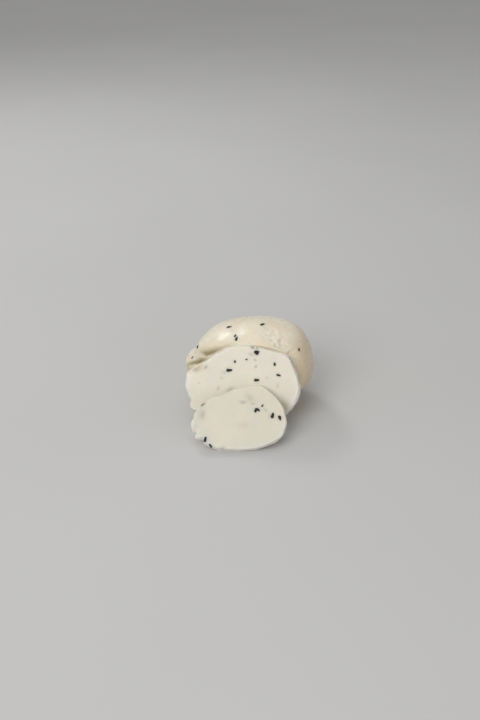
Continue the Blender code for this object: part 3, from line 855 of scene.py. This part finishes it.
def make_seed(number, flats):
    """One seed of unit size, its length along X: a round pared down by flats, then tapered and wrinkled."""
    bpy.ops.object.select_all(action="DESELECT")
    bpy.ops.mesh.primitive_uv_sphere_add(
        segments=32, ring_count=16, radius=0.5, rotation=(0.0, math.pi / 2.0, 0.0)
    )
    seed = bpy.context.object
    seed.name = f"seed_kind_{number}"
    bpy.ops.object.transform_apply(rotation=True)
    start_edit(seed)
    for turn, tip, share in flats:
        outward = Matrix.Rotation(math.radians(turn), 3, "X") @ Matrix.Rotation(math.radians(tip), 3, "Y")
        outward = outward @ Vector((0.0, 0.0, 1.0))
        middle_of_flat = outward * 0.5 * share
        bpy.ops.mesh.select_all(action="SELECT")
        bpy.ops.mesh.bisect(plane_co=middle_of_flat, plane_no=outward, clear_outer=True, use_fill=True)
    bpy.ops.mesh.select_all(action="SELECT")
    bpy.ops.mesh.normals_make_consistent(inside=False)
    end_edit()
    remesh = seed.modifiers.new("even", "REMESH")
    remesh.mode = "VOXEL"
    remesh.voxel_size = SEED_VOXEL
    bpy.ops.object.modifier_apply(modifier=remesh.name)
    press_in(seed, "STUCCI", WRINKLE_SIZE, WRINKLE_DEPTH)
    points = get_points(seed)
    slim = 1.0 - SEED_TAPER * points[:, 0]
    set_points(seed, points * np.stack([np.ones_like(slim), slim, slim], axis=1))
    return seed


SEED_BLACK = (0.010, 0.010, 0.009)
SEED_RIDGE_HIGHLIGHT = (0.040, 0.038, 0.034)
SEED_WRINKLES = 2600.0  # to the metre
SEED_WRINKLE_LOOK = {"Distance": 0.12 * MM, "Strength": 0.7}
SEED_ROUGHNESS = (0.38, 0.62)


def new_seed_finish():
    """A dull black seed coat, with painted grey highlights on the ridges of its wrinkles."""
    made, tree, shader, place = new_finish("nigella_seed", 0.5)
    wrinkles = add_node(tree, "TexNoise", {"Vector": place, "Scale": SEED_WRINKLES, "Detail": 3.0})
    ridge_tops = spread(tree, wrinkles, 0.5, 0.75)
    # Painted highlight: the wrinkles' ridges are painted grey.
    tree.links.new(tint(tree, ridge_tops, SEED_BLACK, SEED_RIDGE_HIGHLIGHT), shader.inputs["Base Color"])
    tree.links.new(spread(tree, ridge_tops, 0.0, 1.0, *SEED_ROUGHNESS), shader.inputs["Roughness"])
    bump = add_node(tree, "Bump", {"Height": wrinkles, **SEED_WRINKLE_LOOK})
    tree.links.new(bump, shader.inputs["Normal"])
    return made


seed_kinds = [make_seed(number, flats) for number, flats in enumerate(SEED_KINDS)]
seeds = []


def set_seed(place, outward, length, turn):
    """Sets one seed in a surface, its length along the surface and turned about the outward direction."""
    level = Vector((1.0, 0.0, 0.0)) if abs(outward.x) < 0.9 else Vector((0.0, 1.0, 0.0))
    across = outward.cross(level).normalized()
    lie = Matrix((across.cross(outward), across, outward)).transposed().to_4x4()
    size = length / SEED_LENGTH
    sunk = place + outward * SEED_HEIGHT * size * (SEED_SHOWN - 0.5)
    shape = Matrix.Diagonal((length, SEED_WIDTH * size, SEED_HEIGHT * size, 1.0))
    kind = seed_kinds[len(seeds) % len(seed_kinds)]
    seed = bpy.data.objects.new("seed", kind.data.copy())
    seed.data.transform(
        Matrix.Translation(sunk) @ lie @ Matrix.Rotation(math.radians(turn), 4, "Z") @ shape
    )
    bpy.context.collection.objects.link(seed)
    seeds.append(seed)
    return np.array(place), length


def far_from(place, others):
    """Whether a seed's place is clear of the others."""
    return all((place - other).length > SEED_CLEARANCE for other in others)


def drawn_seed(draw):
    """The length and turn of a strewn seed."""
    return SEED_LENGTH * draw.uniform(1.0 - SEED_VARIETY, 1.0 + SEED_VARIETY), draw.uniform(0.0, 180.0)


def seed_block():
    """Sets the seeds in the block's skin and cut face, and returns their places and lengths."""
    tree = BVHTree.FromPolygons(
        [vert.co for vert in block.data.vertices], [face.vertices[:] for face in block.data.polygons]
    )
    draw = random.Random(DRAW)
    placed = []
    halos = []

    def set_in_skin(angle, along, length, turn):
        plain_place = block_world @ Vector(skin(angle, along))
        place, outward, _, _ = tree.find_nearest(plain_place)
        placed.append(plain_place)
        halos.append(set_seed(place, outward, length, turn))

    for angle, along, length, turn in SKIN_SEEDS:
        set_in_skin(math.radians(angle), along * MM, length * MM, turn)
    while len(placed) < SKIN_SEED_COUNT:
        along = draw.uniform(CUT_PLACE + STREWN_FROM_CUT, BALL_HALF_DEPTH)
        degrees = draw.uniform(*STREWN_ANGLES)
        angle = math.radians(degrees)
        in_patch = PATCH_ANGLES[0] < degrees < PATCH_ANGLES[1] and along < PATCH_END
        if not in_patch and far_from(block_world @ Vector(skin(angle, along)), placed):
            set_in_skin(angle, along, *drawn_seed(draw))
    in_cut = []
    while len(in_cut) < CUT_SEED_COUNT:
        edge = skin(math.radians(draw.uniform(0.0, 360.0)), CUT_PLACE)
        share = STREWN_FROM_EDGE * math.sqrt(draw.random())
        place = block_world @ Vector((edge[0] * share, CUT_PLACE, edge[2] * share))
        if far_from(place, in_cut) and SEED_LENGTH < place.z < CONTACT_HEIGHT:
            in_cut.append(place)
            halos.append(set_seed(place, cut_outward, *drawn_seed(draw)))
    return halos


def edge_drop(form, right, up):
    """How far a slice's rounded front edge has fallen away below its front at a place."""
    half_width, rise, drop = form["size"]
    angle = math.atan2(up / (rise if up > 0.0 else drop), right / half_width)
    edge_right, edge_up = outline(angle, half_width, rise, drop, form["swells"])
    inside = math.hypot(edge_right, edge_up) - math.hypot(right, up)
    return float(softened(inside, FRONT_EDGE * swelling(angle, form["front_edge"])))


def seed_slice(node, world, form, face_seeds, rim_seeds):
    """Sets the seeds in a slice's front, rim and back, and returns their places and lengths."""
    draw = random.Random(DRAW + len(node))
    forward = world.to_3x3() @ Vector((0.0, 0.0, 1.0))
    halos = []
    for right, up, length, turn in face_seeds:
        place = world @ Vector((right * MM, up * MM, -edge_drop(form, right * MM, up * MM)))
        halos.append(set_seed(place, forward, length * MM, turn))
    for degrees, share in rim_seeds:
        angle = math.radians(degrees)
        right, up = rim_point(form, angle, share * SLICE_THICKNESS)
        place = world @ Vector((right, up, -share * SLICE_THICKNESS))
        outward = world.to_3x3() @ Vector((math.cos(angle), math.sin(angle), 0.0))
        halos.append(set_seed(place, outward, *drawn_seed(draw)))
    in_back = []
    while len(in_back) < BACK_SEED_COUNT:
        right, up = outline(draw.uniform(0.0, 2.0 * math.pi), *form["size"], form["swells"])
        share = STREWN_FROM_EDGE * math.sqrt(draw.random())
        place = world @ Vector((right * share, up * share, -SLICE_THICKNESS))
        if far_from(place, in_back) and place.z > SEED_LENGTH:
            in_back.append(place)
            halos.append(set_seed(place, -forward, *drawn_seed(draw)))
    return halos


HALO = 0.14  # how much of its colour a seed gives the curd at its edge
HALO_REACH = 0.62  # how far that spreads, as a share of the seed's length


def stain_around(piece, halos):
    """Adds to a piece's stain what its seeds have given the curd around them."""
    points = get_points(piece)
    stain = get_shade(piece, "stain")
    for place, length in halos:
        away = np.linalg.norm(points - place, axis=1)
        stain = np.maximum(stain, HALO * np.exp(-((away / (HALO_REACH * length)) ** 4)))
    set_shade(piece, "stain", stain)


stain_around(block, seed_block())
middle_halos = seed_slice("middle_slice", middle_world, MIDDLE_SLICE, MIDDLE_FACE_SEEDS, MIDDLE_RIM_SEEDS)
stain_around(middle, middle_halos)
front_halos = seed_slice("front_slice", front_world, FRONT_SLICE, FRONT_FACE_SEEDS, [])
stain_around(front, front_halos)
for kind in seed_kinds:
    bpy.data.objects.remove(kind)
bpy.ops.object.select_all(action="DESELECT")
for seed in seeds:
    seed.select_set(True)
bpy.context.view_layer.objects.active = seeds[0]
bpy.ops.object.join()
nigella = bpy.context.object
nigella.name = "nigella_seeds"
nigella.data.materials.append(new_seed_finish())
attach(nigella, "root")
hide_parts("block", "middle_slice", "front_slice")

# ---------------------------------------------------------------------------------------------------------
# The stage: a plain pale floor and a soft studio. The main light stands at the front left. A weak one at the
# right and one above fill it in, and a small one behind at the left draws the shine on the skin.
FLOOR_WIDTH = 14.0
FLOOR_GREY = (0.60, 0.595, 0.58)
FLOOR_PALE = (0.615, 0.61, 0.60)
FLOOR_PATCHES = 3.0
# Each lamp: its place, its width in metres and its power in watts.
LAMPS = {
    "main_light": ((-0.65, -1.15, 0.92), 1.1, 11.4),
    "fill_light": ((0.95, -0.75, 0.3), 0.8, 0.9),
    "top_light": ((-0.2, 0.25, 1.5), 1.2, 2.5),
    "shine_light": ((-0.40, 0.76, 0.76), 0.25, 1.9),
}
STUDIO_LIGHT = 0.40
CAMERA_PLACE = (-6.88 * MM, -591.61 * MM, 345.7 * MM)
CAMERA_TILT = math.radians(62.5)  # from looking straight down, so it looks 27.5 degrees below level
CAMERA_LENS = 50.0  # in millimetres, as the sensor is
CAMERA_SENSOR = 36.0
CAMERA_NEAR = 10.0 * MM

bpy.ops.object.select_all(action="DESELECT")
bpy.ops.mesh.primitive_plane_add(size=FLOOR_WIDTH)
floor = bpy.context.object
floor.name = "floor"
floor_finish, floor_tree, floor_shader, floor_place = new_finish("floor", 0.8)
floor_grain = speckle(floor_tree, floor_place, FLOOR_PATCHES)
floor_colour = tint(floor_tree, floor_grain, FLOOR_GREY, FLOOR_PALE)
floor_tree.links.new(floor_colour, floor_shader.inputs["Base Color"])
floor.data.materials.append(floor_finish)

for name, (place, width, power) in LAMPS.items():
    lamp = bpy.data.lights.new(name, "AREA")
    lamp.shape = "DISK"
    lamp.size = width
    lamp.energy = power
    softbox = bpy.data.objects.new(name, lamp)
    softbox.location = place
    softbox.rotation_euler = (-Vector(place)).to_track_quat("-Z", "Y").to_euler()
    bpy.context.collection.objects.link(softbox)

camera = bpy.data.objects.new("camera", bpy.data.cameras.new("camera"))
bpy.context.collection.objects.link(camera)
camera.data.lens = CAMERA_LENS
camera.data.sensor_width = CAMERA_SENSOR
camera.data.clip_start = CAMERA_NEAR
camera.rotation_euler = (CAMERA_TILT, 0.0, 0.0)
camera.location = CAMERA_PLACE
bpy.context.scene.camera = camera
bpy.context.scene.view_settings.view_transform = "Standard"
studio = bpy.data.worlds.new("studio")
studio.use_nodes = True
background = studio.node_tree.nodes["Background"]
background.inputs["Color"].default_value = (1.0, 1.0, 1.0, 1.0)
background.inputs["Strength"].default_value = STUDIO_LIGHT
bpy.context.scene.world = studio
